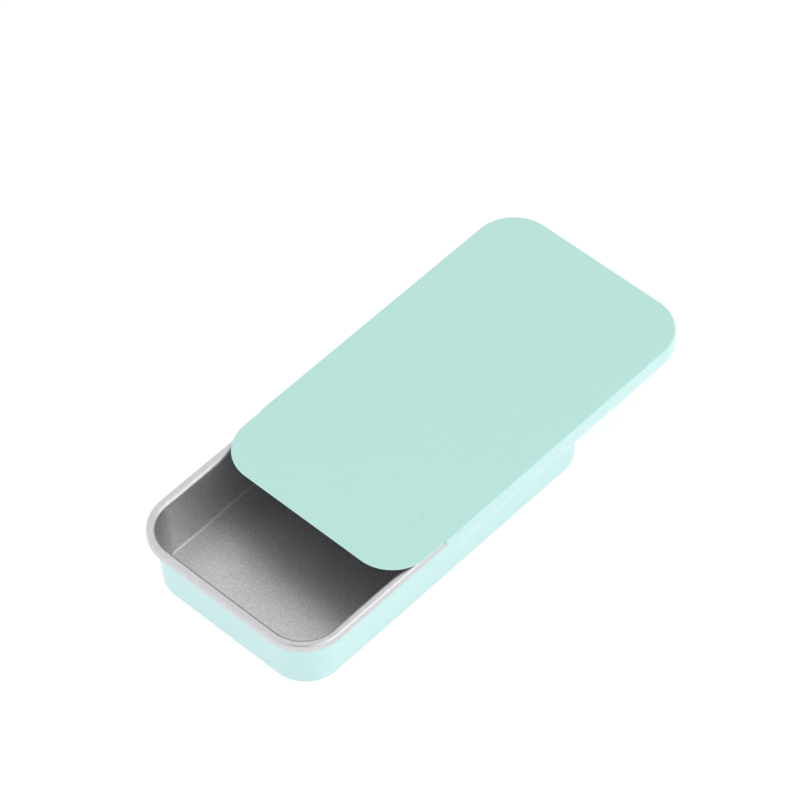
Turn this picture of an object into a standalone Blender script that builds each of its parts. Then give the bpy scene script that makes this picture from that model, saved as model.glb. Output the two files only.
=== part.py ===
"""Sliding lid tin: a drawn tinplate tray and a lid that slides along its rolled rim.

The tray stands on z = 0 with its centre at the origin. The long axis is X, and the lid
opens towards +X. Both pieces are one folded sheet each. The tray's rim turns outward and
rolls down, and the lid's long sides curl in beneath it, which is all that joins the two.
"""
import math

import bmesh
import bpy
from mathutils import Vector

# Driving dimensions, in metres
LID_LENGTH = 0.060
LID_WIDTH = 0.034
SHUT_HEIGHT = 0.0108
SHEET = 0.00023
CLEARANCE = 0.00027
LID_CORNER = 0.0064
RIM_CORNER = 0.0066
NEAR_OVERHANG = 0.0006
REST_OPENING = 0.0173

# Tray: the floor's bend and rounder corners, the wall's lean, and the rim that rolls down
FLOOR_BEND = 0.0005
FOOT_ROUNDING = 0.00035
WALL_DRAFT = 0.00035
RIM_REACH = 0.0011
RIM_CREST = 0.00004
LIP_HEIGHT = 0.0015
LIP_BEND = 0.0004

# Lid: the panel's edge, and the skirt with its hem and rails
PANEL_BEND = 0.00035
EDGE_TURN = math.radians(45)
HEM_BEND = 0.00035
SKIRT_START = 0.0097
SKIRT_SLANT = 0.0018
RAIL_RELIEF = 0.0008
RAIL_DROP = 0.0007

# Facets in a quarter turn of a corner, and in a bend
CORNER_STEPS = 14
BEND_STEPS = 5

# How near to a line a vertex counts as on it
ON_LINE = 0.00002

# Directions in which a sheet's side can face, as angles: 0 is outward from the tin
OUT = 0.0
UP = math.radians(90)
IN = math.radians(180)
DOWN = math.radians(-90)

# What follows from the sizes above
RIM_LENGTH = LID_LENGTH - SHEET - CLEARANCE - NEAR_OVERHANG
RIM_WIDTH = LID_WIDTH - 2 * (SHEET + CLEARANCE)
RIM_TOP = SHUT_HEIGHT - SHEET - CLEARANCE
RIM_BEND = RIM_REACH + SHEET - RIM_CREST - LIP_BEND
LID_DEPTH = SHEET + CLEARANCE + LIP_HEIGHT + RAIL_DROP + SHEET
NEAR_TRIM = PANEL_BEND * (1 - math.sin(EDGE_TURN))
LID_CENTRE_SHUT = (CLEARANCE + SHEET - NEAR_OVERHANG - NEAR_TRIM) / 2

# Finishes: colour, metallic and roughness of the outside and of the inside
MINT = (0.50, 0.76, 0.70, 1.0)
TINPLATE = (0.42, 0.42, 0.43, 1.0)
PAINT_ROUGHNESS = 0.55
TINPLATE_ROUGHNESS = 0.38

# Folds sharper than this shade as a crease
CREASE_ANGLE = math.radians(40)


class Outline:
    """A rounded rectangle about the origin, and the rings offset from it."""

    def __init__(self, length, width, corner):
        self.corner = corner
        self.core_x = length / 2 - corner
        self.core_y = width / 2 - corner

    def core_point(self, point):
        """The nearest point of the rectangle that joins the four corner centres."""
        x = min(max(point.x, -self.core_x), self.core_x)
        y = min(max(point.y, -self.core_y), self.core_y)
        return Vector((x, y, 0))

    def move(self, vert, outward, height):
        """Set a vertex this far outside the outline, at this height."""
        centre = self.core_point(vert.co)
        away = Vector((vert.co.x, vert.co.y, 0)) - centre
        vert.co = centre + away.normalized() * (self.corner + outward)
        vert.co.z = height

    def panel(self, outward, height):
        """A flat sheet within one ring: a plane with its four corners rounded."""
        corner = self.corner + outward
        bm = bmesh.new()
        bmesh.ops.create_grid(bm, x_segments=1, y_segments=1, size=1)
        bmesh.ops.scale(bm, vec=(self.core_x + corner, self.core_y + corner, 1), verts=bm.verts)
        bmesh.ops.bevel(bm, geom=bm.verts[:], offset=corner, offset_type="OFFSET",
                        segments=CORNER_STEPS, profile=0.5, affect="VERTICES", material=-1)
        bmesh.ops.translate(bm, vec=(0, 0, height), verts=bm.verts)
        return bm


def bend(centre_out, centre_z, radius, start, end):
    """(outward, height) stations round a bend, from one facing direction to another."""
    turns = [start + (end - start) * step / BEND_STEPS for step in range(1, BEND_STEPS + 1)]
    return [(centre_out + radius * math.cos(turn), centre_z + radius * math.sin(turn)) for turn in turns]


def fold(bm, edges, outline, stations):
    """Extrude open edges through (outward, height) stations, and return the last ones."""
    for outward, height in stations:
        made = bmesh.ops.extrude_edge_only(bm, edges=edges)["geom"]
        verts = {item for item in made if isinstance(item, bmesh.types.BMVert)}
        for vert in verts:
            outline.move(vert, outward, height)
        edges = [item for item in made if isinstance(item, bmesh.types.BMEdge) and verts.issuperset(item.verts)]
    return edges


def middle_x(edge):
    return (edge.verts[0].co.x + edge.verts[1].co.x) / 2


def material(name, colour, metallic, roughness):
    mat = bpy.data.materials.new(name)
    mat.use_nodes = True
    shader = mat.node_tree.nodes["Principled BSDF"]
    shader.inputs["Base Color"].default_value = colour
    shader.inputs["Metallic"].default_value = metallic
    shader.inputs["Roughness"].default_value = roughness
    return mat


def finishes(piece):
    """A piece's own two finishes: mint paint outside, bare satin tinplate inside."""
    paint = material(piece + " mint paint", MINT, 0, PAINT_ROUGHNESS)
    bare = material(piece + " bare tinplate", TINPLATE, 1, TINPLATE_ROUGHNESS)
    return paint, bare


def sheet_object(name, bm, drawn_side, other_side, location, collection):
    """A piece of sheet metal: the drawn side, given its thickness behind it."""
    bmesh.ops.recalc_face_normals(bm, faces=bm.faces)
    mesh = bpy.data.meshes.new(name)
    bm.to_mesh(mesh)
    bm.free()
    mesh.shade_smooth()
    mesh.set_sharp_from_angle(angle=CREASE_ANGLE)
    mesh.materials.append(drawn_side)
    mesh.materials.append(other_side)
    obj = bpy.data.objects.new(name, mesh)
    obj.location = location
    collection.objects.link(obj)
    shell = obj.modifiers.new("sheet", "SOLIDIFY")
    shell.thickness = SHEET
    shell.offset = -1
    shell.use_even_offset = True
    shell.material_offset = 1
    return obj


def make_tray(collection):
    """The tray's bare side: floor, leaning wall, and the rim turned out and rolled down."""
    rim = Outline(RIM_LENGTH, RIM_WIDTH, RIM_CORNER)
    foot = Outline(RIM_LENGTH, RIM_WIDTH, RIM_CORNER + FOOT_ROUNDING)
    wall_top = -RIM_REACH - SHEET
    wall_foot = wall_top - WALL_DRAFT
    floor_bend = FLOOR_BEND - SHEET
    lip_foot = RIM_TOP - LIP_HEIGHT
    stations = [(wall_top, RIM_TOP - RIM_BEND)]
    stations += bend(wall_top + RIM_BEND, RIM_TOP - RIM_BEND, RIM_BEND, IN, UP)
    stations += [(-LIP_BEND, RIM_TOP)]
    stations += bend(-LIP_BEND, RIM_TOP - LIP_BEND, LIP_BEND, UP, OUT)
    stations += [(0, lip_foot + LIP_BEND)]
    stations += bend(-LIP_BEND, lip_foot + LIP_BEND, LIP_BEND, OUT, DOWN)
    bm = foot.panel(wall_foot - floor_bend, SHEET)
    edges = [edge for edge in bm.edges if edge.is_boundary]
    edges = fold(bm, edges, foot, bend(wall_foot - floor_bend, FLOOR_BEND, floor_bend, DOWN, OUT))
    fold(bm, edges, rim, stations)
    paint, bare = finishes("tray")
    return sheet_object("tray", bm, bare, paint, (0, 0, 0), collection)


def make_lid(collection):
    """The lid's painted side: panel, turned edge, skirt and hem, and the two rails."""
    outline = Outline(LID_LENGTH + NEAR_TRIM, LID_WIDTH, LID_CORNER)
    skirt_start = SKIRT_START - (LID_LENGTH - NEAR_TRIM) / 2
    rail_end = outline.core_x - RAIL_RELIEF
    wall_face = -SHEET - CLEARANCE - RIM_REACH
    bend_z = LID_DEPTH - PANEL_BEND
    slope = UP - EDGE_TURN

    bm = outline.panel(-PANEL_BEND, LID_DEPTH)
    for cut in (skirt_start, rail_end):
        geom = bm.verts[:] + bm.edges[:] + bm.faces[:]
        bmesh.ops.bisect_plane(bm, geom=geom, plane_co=(cut, 0, 0), plane_no=(1, 0, 0))

    # The panel's whole edge turns down a little, and at the near end it stops there
    edges = [edge for edge in bm.edges if edge.is_boundary]
    edges = fold(bm, edges, outline, bend(-PANEL_BEND, bend_z, PANEL_BEND, UP, slope))

    # From the skirt's start on, the edge goes down past the rim and hems inward below it
    skirt = [edge for edge in edges if middle_x(edge) > skirt_start]
    skirt = fold(bm, skirt, outline, bend(-PANEL_BEND, bend_z, PANEL_BEND, slope, OUT))
    skirt = fold(bm, skirt, outline, [(0, HEM_BEND)])
    hem = fold(bm, skirt, outline, bend(-HEM_BEND, HEM_BEND, HEM_BEND, OUT, DOWN))

    # Along the straight sides the hem reaches in under the rim's lip, close to the wall
    rails = [edge for edge in hem if skirt_start < middle_x(edge) < rail_end]
    fold(bm, rails, outline, [(wall_face + CLEARANCE, 0)])

    # The skirt's two near ends are cut back at a slant
    for vert in bm.verts:
        drop = (bend_z - vert.co.z) / bend_z
        if abs(vert.co.x - skirt_start) < ON_LINE and drop > 0:
            vert.co.x += SKIRT_SLANT * drop
    paint, bare = finishes("lid")
    place = (LID_CENTRE_SHUT + REST_OPENING, 0, SHUT_HEIGHT - LID_DEPTH)
    return sheet_object("lid", bm, paint, bare, place, collection)


def main():
    for obj in list(bpy.data.objects):
        bpy.data.objects.remove(obj, do_unlink=True)
    tin = bpy.data.collections.new("sliding_lid_tin")
    bpy.context.scene.collection.children.link(tin)
    make_tray(tin)
    make_lid(tin)


main()
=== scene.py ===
# %% [markdown]
# # A sliding lid tin
# This small box is two pressings of tinplate: a tray whose rim turns outward and rolls down, and a
# lid whose long sides curl in beneath that rim. It is painted mint outside and left bare inside.
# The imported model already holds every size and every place. This script keeps to them, and gives
# the two pressings finer bends, a paint film, bare satin metal and the small marks of use.

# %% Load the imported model
import math

import bmesh
import bpy
from mathutils import Matrix, Vector


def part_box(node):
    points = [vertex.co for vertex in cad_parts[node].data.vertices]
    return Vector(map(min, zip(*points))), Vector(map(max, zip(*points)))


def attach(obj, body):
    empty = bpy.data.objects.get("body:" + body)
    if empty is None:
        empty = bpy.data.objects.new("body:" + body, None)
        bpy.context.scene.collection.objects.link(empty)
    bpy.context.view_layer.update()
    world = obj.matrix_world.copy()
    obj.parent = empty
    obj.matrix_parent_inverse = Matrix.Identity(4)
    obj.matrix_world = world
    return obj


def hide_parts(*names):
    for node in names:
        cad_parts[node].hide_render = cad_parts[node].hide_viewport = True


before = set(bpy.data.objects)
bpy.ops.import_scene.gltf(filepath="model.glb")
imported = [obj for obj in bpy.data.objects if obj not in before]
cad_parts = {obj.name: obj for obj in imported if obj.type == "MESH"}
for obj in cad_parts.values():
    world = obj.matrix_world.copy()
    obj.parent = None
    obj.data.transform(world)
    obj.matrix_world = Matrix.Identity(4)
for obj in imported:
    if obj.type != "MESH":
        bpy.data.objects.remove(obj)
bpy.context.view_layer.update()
MM = 0.001

# %% [markdown]
# ## The camera
# The picture was taken with a long lens from above one corner of the tray, so that the near ends
# of both pieces show. A long lens keeps far edges nearly parallel to near ones. A camera could be
# placed by hand and nudged, but a matrix built from two angles about a point on the lid's top, a
# distance and a small roll keeps each of them a number that can be changed by itself. The Standard
# view transform shows colours as they are written, where the default one would mute them.

# %% Camera
scene = bpy.context.scene
scene.view_settings.view_transform = "Standard"
PICTURE_WIDTH = 800
FOCAL_PIXELS = 4259.3
SENSOR_MM = 36
VIEW_TURN = -2.3638
VIEW_RISE = 0.8802
VIEW_ROLL = -0.0372
VIEW_DISTANCE = 0.5750
VIEW_TARGET = Vector((0.01058, 0.00407, 0.0108))


def camera_axes(turn, rise, roll):
    """The camera's right, up and back directions."""
    back = Vector((math.cos(rise) * math.cos(turn), math.cos(rise) * math.sin(turn), math.sin(rise)))
    right = Vector((0, 0, 1)).cross(back).normalized()
    tilt = Matrix.Rotation(roll, 3, back)
    return tilt @ right, tilt @ back.cross(right), back


def add_camera():
    """Point the lens at the target from its distance, and make it the scene's camera."""
    axes = camera_axes(VIEW_TURN, VIEW_RISE, VIEW_ROLL)
    lens = bpy.data.cameras.new("long lens")
    lens.sensor_width = SENSOR_MM
    lens.lens = FOCAL_PIXELS / PICTURE_WIDTH * SENSOR_MM
    camera = bpy.data.objects.new("camera", lens)
    place = Matrix.Translation(VIEW_TARGET + axes[2] * VIEW_DISTANCE)
    camera.matrix_world = place @ Matrix(axes).transposed().to_4x4()
    scene.collection.objects.link(camera)
    scene.camera = camera
    seen_from = [round(c, 3) for c in camera.matrix_world.translation]
    print("lens:", round(lens.lens, 1), "mm, from", seen_from)


add_camera()

# %% [markdown]
# ## Small helpers for nodes
# Lights and finishes are trees of nodes. An input takes either a link from another node or a plain
# value, so one helper does whichever fits. Two more make the nodes that come back all the time: a
# step of arithmetic on two numbers, and a number moved from one range to another.

# %% Node helpers
def plug(tree, value, socket):
    """Feed an input with another node's output, or with a plain value."""
    if isinstance(value, bpy.types.NodeSocket):
        tree.links.new(value, socket)
    else:
        socket.default_value = value


def maths(tree, operation, first, second):
    """One step of arithmetic on two numbers."""
    node = tree.nodes.new("ShaderNodeMath")
    node.operation = operation
    for socket, value in zip(node.inputs, (first, second)):
        plug(tree, value, socket)
    return node.outputs[0]


def remap(tree, source, from_low, from_high, low, high, smooth=False):
    """A number moved from one range to another."""
    node = tree.nodes.new("ShaderNodeMapRange")
    node.interpolation_type = "SMOOTHSTEP" if smooth else "LINEAR"
    tree.links.new(source, node.inputs["Value"])
    ends = {"From Min": from_low, "From Max": from_high, "To Min": low, "To Max": high}
    for label, value in ends.items():
        node.inputs[label].default_value = value
    return node.outputs["Result"]


print("helpers for nodes:", [helper.__name__ for helper in (plug, maths, remap)])

# %% [markdown]
# ## A light tent
# The tin stands in a white tent, which lights it from every side. Lamps alone would leave hard
# edges of light on the paint, so most of the light is the world itself. Bare metal is different:
# it shows whatever it faces. So the dark end of the tray's inside is the lid's own shaded underside,
# mirrored in the tray's floor. The tent has an opening on one side, and rounded metal that faces it
# shows it as a darker line. The tent that the camera and the metal see has its own level, a little
# above the level that lights the paint.

# %% Tent
TENT_LIGHT = 0.85
TENT_SEEN = 0.93
OPENING_TOWARDS = Vector((-0.69, -0.69, 0.2)).normalized()
OPENING_CORE = math.radians(15)
OPENING_EDGE = math.radians(50)
OPENING_LEVEL = 0.35


def seen_ray(tree):
    """1 where the camera, a reflection or a view through glass looks at this surface."""
    path = tree.nodes.new("ShaderNodeLightPath")
    mirrored = maths(tree, "MAXIMUM", path.outputs["Is Glossy Ray"], path.outputs["Is Transmission Ray"])
    return maths(tree, "MAXIMUM", path.outputs["Is Camera Ray"], mirrored)


def tent_opening(tree):
    """1 over the tent's cloth, and less towards its opening.

    In a world, the Generated output is the direction that is looked in.
    """
    towards = tree.nodes.new("ShaderNodeVectorMath")
    towards.operation = "DOT_PRODUCT"
    tree.links.new(tree.nodes.new("ShaderNodeTexCoord").outputs["Generated"], towards.inputs[0])
    towards.inputs[1].default_value = OPENING_TOWARDS
    return remap(tree, towards.outputs["Value"], math.cos(OPENING_EDGE), math.cos(OPENING_CORE),
                 1, OPENING_LEVEL, smooth=True)


def add_tent():
    world = bpy.data.worlds.new("light tent")
    world.use_nodes = True
    tree = world.node_tree
    level = remap(tree, seen_ray(tree), 0, 1, TENT_LIGHT, TENT_SEEN)
    background = tree.nodes["Background"]
    background.inputs["Color"].default_value = (1, 1, 1, 1)
    strength = maths(tree, "MULTIPLY", level, tent_opening(tree))
    tree.links.new(strength, background.inputs["Strength"])
    scene.world = world


add_tent()
print("tent light:", TENT_LIGHT, "and as it is seen:", TENT_SEEN)

# %% [markdown]
# ## The white sheet below it
# The tin stands on a sheet that photographs as plain white. More light would bleach the paint too.
# So the sheet glows only for the camera, for reflections and for views through glass, and stays a
# plain white cloth for the light on the tin. Part of the cloth shows through the glow, and carries
# the tin's soft shadow.

# %% White sheet
FLOOR_WHITE = (0.95, 0.95, 0.95, 1)
FLOOR_GLOW_SHARE = 0.88
FLOOR_GLOW = 1.04
FLOOR_SIZE = 4.0
FLOOR_DROP = 0.02 * MM


def add_floor():
    """One large face just below the tin, which is no piece of it."""
    bm = bmesh.new()
    bmesh.ops.create_grid(bm, x_segments=1, y_segments=1, size=FLOOR_SIZE / 2)
    bmesh.ops.translate(bm, vec=(0, 0, -FLOOR_DROP), verts=bm.verts)
    mesh = bpy.data.meshes.new("white_floor")
    bm.to_mesh(mesh)
    bm.free()
    floor = bpy.data.objects.new("white_floor", mesh)
    scene.collection.objects.link(floor)

    white = bpy.data.materials.new("white sheet")
    white.use_nodes = True
    tree = white.node_tree
    cloth = tree.nodes["Principled BSDF"]
    cloth.inputs["Base Color"].default_value = FLOOR_WHITE
    cloth.inputs["Roughness"].default_value = 1
    cloth.inputs["Specular IOR Level"].default_value = 0
    glow = tree.nodes.new("ShaderNodeEmission")
    glow.inputs["Strength"].default_value = FLOOR_GLOW
    mix = tree.nodes.new("ShaderNodeMixShader")
    tree.links.new(maths(tree, "MULTIPLY", seen_ray(tree), FLOOR_GLOW_SHARE), mix.inputs["Fac"])
    tree.links.new(cloth.outputs[0], mix.inputs[1])
    tree.links.new(glow.outputs[0], mix.inputs[2])
    tree.links.new(mix.outputs[0], tree.nodes["Material Output"].inputs["Surface"])
    mesh.materials.append(white)


add_floor()
print("white sheet:", FLOOR_SIZE, "m wide,", round(FLOOR_DROP / MM, 2), "mm below the tin")

# %% [markdown]
# ## Three soft panels
# A tent alone is too even for metal. A wide soft gleam panel draws the bright line along the rolled
# rim. Two more panels, low at the right and at the near end, lift the painted walls, and metal
# doesn't mirror them. They could be small and near, but wide ones further off fade evenly along the
# tin.

# %% Soft panels
PANEL_DISTANCE = 0.6
GLEAM_TOWARDS = Vector((0.15, -0.95, 0.35))
GLEAM_SIZE = (1.1, 0.45)
GLEAM_POWER = 1.3
RIGHT_TOWARDS = Vector((0.45, -0.9, 0.12))
RIGHT_SIZE = (1.2, 0.6)
RIGHT_POWER = 2.33
NEAR_TOWARDS = Vector((-0.85, 0.45, 0.2))
NEAR_SIZE = (1.3, 0.8)
NEAR_POWER = 3.4
GLEAM_TINT = (1, 1, 1)
PAINT_LIGHT_TINT = (0.99, 0.965, 1.13)
PANELS = {
    "gleam panel": (GLEAM_TOWARDS, GLEAM_SIZE, GLEAM_POWER, GLEAM_TINT, True),
    "right panel": (RIGHT_TOWARDS, RIGHT_SIZE, RIGHT_POWER, PAINT_LIGHT_TINT, False),
    "near panel": (NEAR_TOWARDS, NEAR_SIZE, NEAR_POWER, PAINT_LIGHT_TINT, False),
}


def add_panel(name, towards, size, power, tint, mirrored):
    """An area light that looks at the tin from one direction. It is hidden from the camera."""
    light = bpy.data.lights.new(name, "AREA")
    light.shape = "RECTANGLE"
    light.size = size[0]
    light.size_y = size[1]
    light.energy = power
    light.color = tint
    panel = bpy.data.objects.new(name, light)
    panel.location = towards.normalized() * PANEL_DISTANCE
    panel.rotation_euler = towards.to_track_quat("Z", "Y").to_euler()
    panel.visible_camera = False
    panel.visible_glossy = mirrored
    scene.collection.objects.link(panel)


for panel_name, panel in PANELS.items():
    add_panel(panel_name, *panel)
print("panels:", sorted(PANELS))

# %% [markdown]
# ## Folding a sheet
# Both pressings are one flat blank with its edge folded through a few bends. They could be boxes
# with bevelled edges, but a rolled rim and a hem are hard to reach that way. So the modelling tool
# is the press itself: start from a rectangle with rounded corners, and extrude its open edge
# station by station. A station is how far out from the piece's outline the sheet now is, and how
# high. Every vertex keeps its own direction from the rectangle that joins the corner centres, so
# straight sides stay straight and corners stay round.

# %% Outlines and folds
CORNER_STEPS = 40
BEND_STEPS = 12
UP = math.radians(90)
OUT = 0.0
DOWN = math.radians(-90)
IN = math.radians(180)


class Outline:
    """A rounded rectangle, and the rings that lie a little inside or outside it."""

    def __init__(self, low, high, corner):
        self.corner = corner
        self.middle = Vector(((low[0] + high[0]) / 2, (low[1] + high[1]) / 2, 0))
        self.core_x = (high[0] - low[0]) / 2 - corner
        self.core_y = (high[1] - low[1]) / 2 - corner

    def move(self, vert, outward, height):
        """Set a vertex this far outside the outline, at this height."""
        flat = Vector((vert.co.x, vert.co.y, 0)) - self.middle
        core = Vector((
            min(max(flat.x, -self.core_x), self.core_x),
            min(max(flat.y, -self.core_y), self.core_y),
            0,
        ))
        vert.co = self.middle + core + (flat - core).normalized() * (self.corner + outward)
        vert.co.z = height

    def blank(self, outward, height):
        """The flat part of the sheet: one plane, its corners rounded by a vertex bevel."""
        corner = self.corner + outward
        bm = bmesh.new()
        bmesh.ops.create_grid(bm, x_segments=1, y_segments=1, size=1)
        bmesh.ops.scale(bm, vec=(self.core_x + corner, self.core_y + corner, 1), verts=bm.verts)
        bmesh.ops.bevel(bm, geom=bm.verts[:], offset=corner, offset_type="OFFSET",
                        segments=CORNER_STEPS, profile=0.5, affect="VERTICES", material=-1)
        bmesh.ops.translate(bm, vec=self.middle + Vector((0, 0, height)), verts=bm.verts)
        return bm


def bend(centre_out, centre_z, radius, start, end, rise=None):
    """Stations round a bend, from the way that the sheet faces before it to the way after it.

    An oval bend has its radius sideways and its rise in height.
    """
    rise = rise or radius
    turns = [start + (end - start) * step / BEND_STEPS for step in range(1, BEND_STEPS + 1)]
    return [(centre_out + radius * math.cos(turn), centre_z + rise * math.sin(turn)) for turn in turns]


def fold(bm, edges, outline, stations):
    """Extrude open edges through the stations, and give back the edges of the last one."""
    for outward, height in stations:
        made = bmesh.ops.extrude_edge_only(bm, edges=edges)["geom"]
        verts = {item for item in made if isinstance(item, bmesh.types.BMVert)}
        for vert in verts:
            outline.move(vert, outward, height)
        new_edges = [item for item in made if isinstance(item, bmesh.types.BMEdge)]
        edges = [edge for edge in new_edges if verts.issuperset(edge.verts)]
    return edges


def open_edges(bm):
    """The edges with a face on one side only, where the sheet ends."""
    return [edge for edge in bm.edges if edge.is_boundary]


print("a corner has", CORNER_STEPS, "facets and a bend has", BEND_STEPS)

# %% [markdown]
# ## Marks that follow the folds
# Some marks follow the folds. The walls are painted paler than the top, which is painted light,
# and painted highlights run along the lid's hem and the tray's floor bend; the tray's rim is
# rolled smooth. These places could be painted on an image, but they follow the folds, and every fold
# is at a known height. So each vertex is given a number by its height, and a finish reads it back
# as a mask.

# %% Masks by height
def mark_heights(bm, name, start, end, strength=1, both_ways=False):
    """Store a mask on the vertices by height, for a finish to read.

    It grows from 0 at the start height to its full strength at the end height and beyond. With
    both_ways it is at its fullest halfway between them, and falls back to 0.
    """
    mask = bm.verts.layers.float.new(name)
    turn = math.pi if both_ways else math.pi / 2
    for vert in bm.verts:
        share = min(max((vert.co.z - start) / (end - start), 0), 1)
        vert[mask] = strength * math.sin(turn * share)


print("helper for masks:", mark_heights.__name__)

# %% [markdown]
# ## From a folded surface to real sheet metal
# Tinplate this size is under a quarter of a millimetre thick. A second skin could be folded by
# hand, but the Solidify modifier keeps it at one thickness round every bend. It puts that thickness
# behind the folded surface, with the second material on the far side and the third on the cut
# edge. A very small bevel breaks the cut edge, because a sheared and tumbled edge catches light.

# %% Sheet thickness and cut edge
SHEET = 0.23 * MM
CUT_EDGE_ROUND = 0.03 * MM
CUT_EDGE_ANGLE = math.radians(60)
CREASE_ANGLE = math.radians(40)
CUT_EDGE_STEPS = 2


def sheet_piece(name, bm, finishes):
    """A pressing: its drawn side, the far side and the cut edge take the three finishes in turn."""
    bmesh.ops.recalc_face_normals(bm, faces=bm.faces)
    mesh = bpy.data.meshes.new(name)
    bm.to_mesh(mesh)
    bm.free()
    mesh.shade_smooth()
    mesh.set_sharp_from_angle(angle=CREASE_ANGLE)
    for finish in finishes:
        mesh.materials.append(finish)
    piece = bpy.data.objects.new(name, mesh)
    scene.collection.objects.link(piece)
    wall = piece.modifiers.new("sheet", "SOLIDIFY")
    wall.thickness = SHEET
    wall.offset = -1
    wall.use_even_offset = True
    wall.material_offset = 1
    wall.material_offset_rim = 2
    burr = piece.modifiers.new("cut edge", "BEVEL")
    burr.width = CUT_EDGE_ROUND
    burr.segments = CUT_EDGE_STEPS
    burr.limit_method = "ANGLE"
    burr.angle_limit = CUT_EDGE_ANGLE
    return piece


print("sheet:", round(SHEET / MM, 2), "mm, its cut edge rounded by", round(CUT_EDGE_ROUND / MM, 2), "mm")

# %% [markdown]
# ## Grain on a surface
# Rolled tin is a little sandy, paint has a faint skin, and both vary slowly over a face. Each finish
# could hold its own noise nodes, but then a change would have to be made in every one. So the grain
# is a shader group with named inputs. It is built once and placed in each finish with its own
# values. It reads the piece's own coordinates, so it holds still when the piece or the camera moves.

# %% Grain group
GRAIN_DETAIL = 2
CLOUD_DETAIL = 3


def new_group(name, inputs, outputs):
    """An empty shader group with named number sockets: the group, its two ends and the place."""
    group = bpy.data.node_groups.new(name, "ShaderNodeTree")
    for label, default in inputs:
        socket = group.interface.new_socket(label, in_out="INPUT", socket_type="NodeSocketFloat")
        socket.default_value = default
    for label in outputs:
        group.interface.new_socket(label, in_out="OUTPUT", socket_type="NodeSocketFloat")
    entry = group.nodes.new("NodeGroupInput")
    leave = group.nodes.new("NodeGroupOutput")
    place = group.nodes.new("ShaderNodeTexCoord").outputs["Object"]
    return group, entry, leave, place


def grain_group():
    """Fine grain over slow clouds, both from 0 to 1."""
    inputs = [("Grain per metre", 4000), ("Clouds per metre", 90)]
    group, entry, leave, place = new_group("sheet grain", inputs, ["Grain", "Clouds"])
    for label, detail in (("Grain", GRAIN_DETAIL), ("Clouds", CLOUD_DETAIL)):
        noise = group.nodes.new("ShaderNodeTexNoise")
        noise.inputs["Detail"].default_value = detail
        group.links.new(place, noise.inputs["Vector"])
        group.links.new(entry.outputs[label + " per metre"], noise.inputs["Scale"])
        group.links.new(noise.outputs["Fac"], leave.inputs[label])
    return group


SHEET_GRAIN = grain_group()
print("shader group:", SHEET_GRAIN.name)

# %% [markdown]
# ## Dust specks
# A little dust settles before the paint dries. Small balls could be laid on the surface, but at this
# size they are only dots in the film. The Voronoi texture divides space into cells, each with a
# centre and a random colour of its own. A few cells are chosen by that colour, and each of them gets
# one soft dot at its centre.

# %% Dust speck group
def speck_group():
    """1 inside a few small round specks, and 0 elsewhere."""
    inputs = [("Cells per metre", 160), ("Speck size", 0.08), ("Share with a speck", 0.1)]
    group, entry, leave, place = new_group("dust specks", inputs, ["Speck"])
    cells = group.nodes.new("ShaderNodeTexVoronoi")
    group.links.new(place, cells.inputs["Vector"])
    group.links.new(entry.outputs["Cells per metre"], cells.inputs["Scale"])
    chance = group.nodes.new("ShaderNodeSeparateColor")
    group.links.new(cells.outputs["Color"], chance.inputs[0])
    chosen = maths(group, "LESS_THAN", chance.outputs["Red"], entry.outputs["Share with a speck"])
    reach = maths(group, "DIVIDE", cells.outputs["Distance"], entry.outputs["Speck size"])
    near = remap(group, reach, 0, 1, 1, 0, smooth=True)
    group.links.new(maths(group, "MULTIPLY", near, chosen), leave.inputs["Speck"])
    return group


DUST_SPECKS = speck_group()
print("shader group:", DUST_SPECKS.name)

# %% [markdown]
# ## Draw lines
# Where a die pulls a sheet into a wall it leaves faint upright lines. A picture of scratches would
# have to be wrapped round the corners. Noise that is stretched upwards needs no wrapping, and gives
# lines far longer than they are wide.

# %% Draw line group
def draw_line_group():
    """Upright streaks. Heights are shrunk before the noise is read, which stretches it upwards."""
    inputs = [("Lines per metre", 900), ("Stretch", 0.06)]
    group, entry, leave, place = new_group("draw lines", inputs, ["Lines"])
    scale = group.nodes.new("ShaderNodeCombineXYZ")
    scale.inputs["X"].default_value = 1
    scale.inputs["Y"].default_value = 1
    group.links.new(entry.outputs["Stretch"], scale.inputs["Z"])
    stretched = group.nodes.new("ShaderNodeVectorMath")
    stretched.operation = "MULTIPLY"
    group.links.new(place, stretched.inputs[0])
    group.links.new(scale.outputs[0], stretched.inputs[1])
    noise = group.nodes.new("ShaderNodeTexNoise")
    noise.inputs["Detail"].default_value = GRAIN_DETAIL
    group.links.new(stretched.outputs[0], noise.inputs["Vector"])
    group.links.new(entry.outputs["Lines per metre"], noise.inputs["Scale"])
    group.links.new(noise.outputs["Fac"], leave.inputs["Lines"])
    return group


DRAW_LINES = draw_line_group()
print("shader group:", DRAW_LINES.name)

# %% [markdown]
# ## Putting a finish together
# A finish is one Principled shader, fed by the groups above. Four steps come back in each of them:
# start the material, place a group with this finish's values, blend two colours by a mask, and
# stack small heights on the normal. So each step is a helper, and a finish reads as a list of what
# lies on the metal. A Mix node gives its number, vector and colour sockets the same labels, so the
# colour ones are picked out by their type.

# %% Helpers for a finish
def new_finish(name):
    """A new material, its node tree and its Principled shader."""
    finish = bpy.data.materials.new(name)
    finish.use_nodes = True
    return finish, finish.node_tree, finish.node_tree.nodes["Principled BSDF"]


def use_group(tree, group, values):
    """Place a shader group in a finish, with this finish's own values."""
    node = tree.nodes.new("ShaderNodeGroup")
    node.node_tree = group
    for label, value in values.items():
        node.inputs[label].default_value = value
    return node


def mask_of(tree, name):
    """A mask that the piece's own vertices carry. It is 0 on a piece without it."""
    node = tree.nodes.new("ShaderNodeAttribute")
    node.attribute_name = name
    return node.outputs["Fac"]


def colour_sockets(sockets):
    return [socket for socket in sockets if socket.type == "RGBA"]


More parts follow.
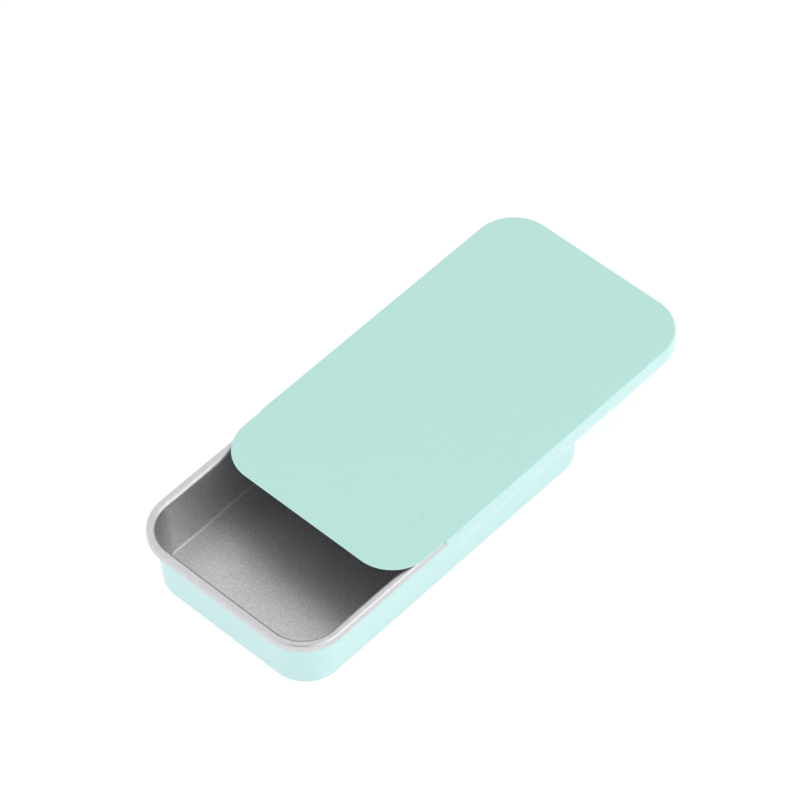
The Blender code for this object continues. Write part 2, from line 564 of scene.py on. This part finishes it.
def blend_colours(tree, mask, first, second):
    """first where the mask is 0, second where it is 1. Either may be a socket or a colour."""
    node = tree.nodes.new("ShaderNodeMix")
    node.data_type = "RGBA"
    tree.links.new(mask, node.inputs["Factor"])
    for socket, value in zip(colour_sockets(node.inputs), (first, second)):
        plug(tree, value, socket)
    return colour_sockets(node.outputs)[0]


def add_bump(tree, shader, layers):
    """Stack height masks on a shader's normal, each with its own depth in metres."""
    normal = None
    for height, depth in layers:
        bump = tree.nodes.new("ShaderNodeBump")
        bump.inputs["Strength"].default_value = 1
        bump.inputs["Distance"].default_value = depth
        tree.links.new(height, bump.inputs["Height"])
        if normal is not None:
            tree.links.new(normal, bump.inputs["Normal"])
        normal = bump.outputs["Normal"]
    tree.links.new(normal, shader.inputs["Normal"])


print("a finish may place", [group.name for group in (SHEET_GRAIN, DUST_SPECKS, DRAW_LINES)])

# %% [markdown]
# ## Mint paint
# The outside is stove enamel: a thin even film, matt with a faint skin. One flat colour would look
# like plastic, although the colour hardly changes over a face. What sells it as paint is its lift
# towards white at a low angle, which a lacquer coat and a slight haze give, and a few dust specks
# under the film. The walls are painted paler than the top, which is painted light from the side,
# and a painted highlight runs along the lid's hem. The meshes say where, by a number on each vertex.

# %% Mint paint
MINT = (0.446, 0.725, 0.653, 1)
MINT_DEEP = (0.439, 0.715, 0.644, 1)
# Painted light: the walls are painted paler than the top, as if lit from the side.
WALL_PAINTED_LIGHT = (0.503, 0.733, 0.690, 1)
# Painted highlight: a pale line along the lid's hem.
HEM_PAINTED_HIGHLIGHT = (0.60, 0.80, 0.77, 1)
DUST = (0.335, 0.60, 0.56, 1)
PAINT_GRAIN = {"Grain per metre": 2600, "Clouds per metre": 60}
PAINT_DUST = {"Cells per metre": 420, "Speck size": 0.12, "Share with a speck": 0.3}
PAINT_ROUGH = (0.42, 0.50)
LACQUER = 1.0
LACQUER_INDEX = 1.5
LACQUER_ROUGH = 0.35
HAZE = 0.1
HAZE_ROUGH = 0.5
SKIN_DEPTH = 0.0006 * MM
SPECK_DEPTH = 0.01 * MM
WALL_LIGHT_MASK = "painted_wall_light"
HEM_HIGHLIGHT_MASK = "painted_hem_highlight"


def mint_paint():
    """Clouded mint with dust in it and lacquer over it. The walls are painted paler as light, and the
    hem has a painted highlight.
    """
    finish, tree, shader = new_finish("mint paint")
    grain = use_group(tree, SHEET_GRAIN, PAINT_GRAIN)
    specks = use_group(tree, DUST_SPECKS, PAINT_DUST)
    colour = blend_colours(tree, grain.outputs["Clouds"], MINT, MINT_DEEP)
    # Painted light: the walls are paler than the top.
    colour = blend_colours(tree, mask_of(tree, WALL_LIGHT_MASK), colour, WALL_PAINTED_LIGHT)
    # Painted highlight along the lid's hem.
    colour = blend_colours(tree, mask_of(tree, HEM_HIGHLIGHT_MASK), colour, HEM_PAINTED_HIGHLIGHT)
    colour = blend_colours(tree, specks.outputs["Speck"], colour, DUST)
    tree.links.new(colour, shader.inputs["Base Color"])
    rough = remap(tree, grain.outputs["Clouds"], 0, 1, *PAINT_ROUGH)
    tree.links.new(rough, shader.inputs["Roughness"])
    shader.inputs["Specular IOR Level"].default_value = 0
    shader.inputs["Coat Weight"].default_value = LACQUER
    shader.inputs["Coat IOR"].default_value = LACQUER_INDEX
    shader.inputs["Coat Roughness"].default_value = LACQUER_ROUGH
    shader.inputs["Sheen Weight"].default_value = HAZE
    shader.inputs["Sheen Roughness"].default_value = HAZE_ROUGH
    add_bump(tree, shader, [
        (grain.outputs["Grain"], SKIN_DEPTH),
        (specks.outputs["Speck"], SPECK_DEPTH),
    ])
    return finish


PAINT = mint_paint()
print("outside:", PAINT.name)

# %% [markdown]
# ## Bare tinplate
# The inside is tin over steel with a satin, slightly sandy face. It is a metal, so its look is
# all reflection: the base colour is only the tint and strength of what it mirrors. A picture of
# metal would freeze one reflection, so the marks are made from noise instead. Fine grain breaks
# the reflection into sparkle, slow clouds bend it a little, and draw lines run up the wall.
# Rolling smooths the sand on the rim and leaves shallow ripples there, and a painted highlight
# brightens the tight bend round the floor. The tray's mesh says where both are, by a number on each
# vertex.

# %% Bare tinplate
TIN = (0.788, 0.791, 0.801, 1)
TIN_DARK = (0.592, 0.595, 0.603, 1)
TIN_METALLIC = 0.90
TIN_GRAIN = {"Grain per metre": 3400, "Clouds per metre": 110}
TIN_LINES = {"Lines per metre": 700, "Stretch": 0.05}
RIM_RIPPLES = {"Grain per metre": 1400, "Clouds per metre": 300}
SAND_RANGE = (0.28, 0.72)
TIN_ROUGH = (0.35, 0.45)
TIN_GRAIN_DEPTH = 0.004 * MM
TIN_CLOUD_DEPTH = 0.05 * MM
TIN_LINE_DEPTH = 0.010 * MM
RIM_RIPPLE_DEPTH = 0.012 * MM
ROLLED = (0.690, 0.692, 0.700, 1)
ROLLED_DARK = (0.620, 0.622, 0.630, 1)
# Painted highlight: brighter tin along the tight bend round the floor.
BEND_PAINTED_HIGHLIGHT = (0.960, 0.962, 0.970, 1)
ROLLED_RIM = "rolled_rim"
BEND_HIGHLIGHT_MASK = "painted_bend_highlight"


def bare_tinplate():
    """Sanded tin, rolled smooth on the rim, with a painted highlight along the floor's bend."""
    finish, tree, shader = new_finish("bare tinplate")
    shader.inputs["Metallic"].default_value = TIN_METALLIC
    grain = use_group(tree, SHEET_GRAIN, TIN_GRAIN)
    lines = use_group(tree, DRAW_LINES, TIN_LINES)
    ripples = use_group(tree, SHEET_GRAIN, RIM_RIPPLES)
    on_rim = mask_of(tree, ROLLED_RIM)
    sand = remap(tree, grain.outputs["Grain"], *SAND_RANGE, 0, 1)
    sanded = blend_colours(tree, sand, TIN_DARK, TIN)
    ripple = remap(tree, ripples.outputs["Grain"], *SAND_RANGE, 0, 1)
    rolled = blend_colours(tree, ripple, ROLLED_DARK, ROLLED)
    colour = blend_colours(tree, on_rim, sanded, rolled)
    # Painted highlight along the floor's bend.
    colour = blend_colours(tree, mask_of(tree, BEND_HIGHLIGHT_MASK), colour, BEND_PAINTED_HIGHLIGHT)
    tree.links.new(colour, shader.inputs["Base Color"])
    rough = remap(tree, grain.outputs["Clouds"], 0, 1, *TIN_ROUGH)
    tree.links.new(rough, shader.inputs["Roughness"])
    add_bump(tree, shader, [
        (grain.outputs["Clouds"], TIN_CLOUD_DEPTH),
        (lines.outputs["Lines"], TIN_LINE_DEPTH),
        (grain.outputs["Grain"], TIN_GRAIN_DEPTH),
        (maths(tree, "MULTIPLY", ripples.outputs["Grain"], on_rim), RIM_RIPPLE_DEPTH),
    ])
    return finish


TINPLATE = bare_tinplate()
print("inside:", TINPLATE.name)

# %% [markdown]
# ## The cut edge
# Shearing a sheet lays its steel core bare, so each open edge is a thin line of steel that is a
# little darker than the tin on either side. It could be left to the tinplate, but seen from nearby
# that line is what shows how thin the sheet is. It is steel with a very fine grain, smeared with
# some of the tin.

# %% Cut edge
STEEL = (0.50, 0.50, 0.51, 1)
STEEL_GRAIN = {"Grain per metre": 9000, "Clouds per metre": 400}
STEEL_ROUGH = (0.3, 0.5)


def cut_steel():
    """Fine-grained steel with some tin dragged over it."""
    finish, tree, shader = new_finish("cut steel edge")
    shader.inputs["Metallic"].default_value = 1
    grain = use_group(tree, SHEET_GRAIN, STEEL_GRAIN)
    colour = blend_colours(tree, grain.outputs["Grain"], STEEL, TIN)
    tree.links.new(colour, shader.inputs["Base Color"])
    rough = remap(tree, grain.outputs["Clouds"], 0, 1, *STEEL_ROUGH)
    tree.links.new(rough, shader.inputs["Roughness"])
    return finish


CUT_EDGE = cut_steel()
print("edge:", CUT_EDGE.name)

# %% [markdown]
# ## The tray
# The real tray is one drawn pressing. A block could be hollowed out instead, but its rim would then
# have no roll and its wall no even thickness. So it is folded from its bare side: floor, a tight
# bend, a wall that leans out slightly, the rim turned outward over an oval shoulder, and the lip
# rolled down and in. The bends are what the light picks out, so each one has a real radius.

# %% Tray
tray_low, tray_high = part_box("tray")
RIM_CORNER = 6.6 * MM
FLOOR_BEND = 0.55 * MM
FOOT_ROUNDING = 0.35 * MM
WALL_DRAFT = 0.35 * MM
RIM_REACH = 1.1 * MM
RIM_CREST = 0.04 * MM
LIP_HEIGHT = 1.5 * MM
LIP_BEND = 0.38 * MM
SHOULDER = 0.55 * MM
RIM_BEND = RIM_REACH + SHEET - RIM_CREST - LIP_BEND
ROLLED_SHARE = 0.9


def make_tray():
    """The tray, folded from its bare side."""
    rim = Outline(tray_low, tray_high, RIM_CORNER)
    foot = Outline(tray_low, tray_high, RIM_CORNER + FOOT_ROUNDING)
    top = tray_high.z
    wall_top = -RIM_REACH - SHEET
    wall_foot = wall_top - WALL_DRAFT
    floor_bend = FLOOR_BEND - SHEET
    lip_foot = top - LIP_HEIGHT
    stations = [(wall_top, top - RIM_BEND)]
    stations += bend(wall_top + RIM_BEND, top - RIM_BEND, RIM_BEND, IN, UP)
    stations += [(-LIP_BEND, top)]
    stations += bend(-LIP_BEND, top - SHOULDER, LIP_BEND, UP, OUT, SHOULDER)
    stations += [(0, lip_foot + LIP_BEND)]
    stations += bend(-LIP_BEND, lip_foot + LIP_BEND, LIP_BEND, OUT, DOWN)
    bm = foot.blank(wall_foot - floor_bend, SHEET)
    bottom = bend(wall_foot - floor_bend, FLOOR_BEND, floor_bend, DOWN, OUT)
    edges = fold(bm, open_edges(bm), foot, bottom)
    fold(bm, edges, rim, stations)
    # Painted light: the paint on the walls above the floor's bend is paler.
    mark_heights(bm, WALL_LIGHT_MASK, SHEET, FLOOR_BEND)
    mark_heights(bm, ROLLED_RIM, top - RIM_BEND, top - RIM_BEND / 2, strength=ROLLED_SHARE)
    # Painted highlight along the floor's bend.
    mark_heights(bm, BEND_HIGHLIGHT_MASK, SHEET, FLOOR_BEND, both_ways=True)
    return sheet_piece("tray_pressing", bm, (TINPLATE, PAINT, CUT_EDGE))


tray = make_tray()
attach(tray, "tray")
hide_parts("tray")
print("tray:", len(tray.data.polygons), "faces before its thickness")

# %% [markdown]
# ## The lid
# The lid is a second pressing, which could have its rails added as strips. On the real one they are
# the same sheet, so the lid is folded in one go from its painted side. The near end and the first
# sixth of each long side only turn down a little. From there on, the edge folds more tightly, goes
# down as a skirt and hems inward, and along the straight sides the hem reaches in under the tray's
# rim, as the rail that holds the lid on. A narrow flat ring round the top keeps the shading of the
# big face level up to the fold.

# %% Lid
lid_low, lid_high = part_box("lid")
LID_CORNER = 6.4 * MM
PANEL_BEND = 0.55 * MM
SKIRT_BEND = 0.35 * MM
FLAT_RING = 0.3 * MM
EDGE_TURN = math.radians(40)
HEM_BEND = 0.35 * MM
SKIRT_START = 9.7 * MM
SKIRT_SLANT = 1.8 * MM
RAIL_RELIEF = 0.8 * MM
NEAR_TRIM = PANEL_BEND * (1 - math.sin(EDGE_TURN))
ON_LINE = 0.02 * MM


def middle_x(edge):
    """How far along the tin an edge lies."""
    return (edge.verts[0].co.x + edge.verts[1].co.x) / 2


def make_lid():
    """The lid, folded from its painted side."""
    outline = Outline(lid_low - Vector((NEAR_TRIM, 0, 0)), lid_high, LID_CORNER)
    skirt_start = lid_low.x + SKIRT_START
    rail_end = outline.middle.x + outline.core_x - RAIL_RELIEF
    rail_in = -SHEET - RIM_REACH
    foot = lid_low.z
    bend_z = lid_high.z - PANEL_BEND
    slope = UP - EDGE_TURN
    fold_z = lid_high.z - SKIRT_BEND

    bm = outline.blank(-PANEL_BEND - FLAT_RING, lid_high.z)
    for cut in (skirt_start, rail_end):
        geom = bm.verts[:] + bm.edges[:] + bm.faces[:]
        bmesh.ops.bisect_plane(bm, geom=geom, plane_co=(cut, 0, 0), plane_no=(1, 0, 0))
    edges = fold(bm, open_edges(bm), outline, [(-PANEL_BEND, lid_high.z)])
    near = [edge for edge in edges if middle_x(edge) < skirt_start]
    skirt = [edge for edge in edges if middle_x(edge) > skirt_start]
    fold(bm, near, outline, bend(-PANEL_BEND, bend_z, PANEL_BEND, UP, slope))

    # The skirt's fold, its drop and its hem
    stations = [(-SKIRT_BEND, lid_high.z)] + bend(-SKIRT_BEND, fold_z, SKIRT_BEND, UP, OUT)
    stations += [(0, foot + 2 * HEM_BEND), (0, foot + HEM_BEND)]
    stations += bend(-HEM_BEND, foot + HEM_BEND, HEM_BEND, OUT, DOWN)
    hem = fold(bm, skirt, outline, stations)
    rails = [edge for edge in hem if skirt_start < middle_x(edge) < rail_end]
    fold(bm, rails, outline, [(rail_in, foot)])

    # The skirt's two near ends are cut back at a slant
    for vert in bm.verts:
        drop = (fold_z - vert.co.z) / (fold_z - foot)
        if abs(vert.co.x - skirt_start) < ON_LINE and drop > 0:
            vert.co.x += SKIRT_SLANT * drop
    # Painted light: the paint on the skirt is paler than on the top.
    mark_heights(bm, WALL_LIGHT_MASK, lid_high.z, fold_z)
    # Painted highlight along the lid's hem.
    mark_heights(bm, HEM_HIGHLIGHT_MASK, foot, foot + 2 * HEM_BEND, both_ways=True)
    return sheet_piece("lid_pressing", bm, (PAINT, TINPLATE, CUT_EDGE))


lid = make_lid()
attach(lid, "lid")
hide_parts("lid")
print("lid:", len(lid.data.polygons), "faces before its thickness")
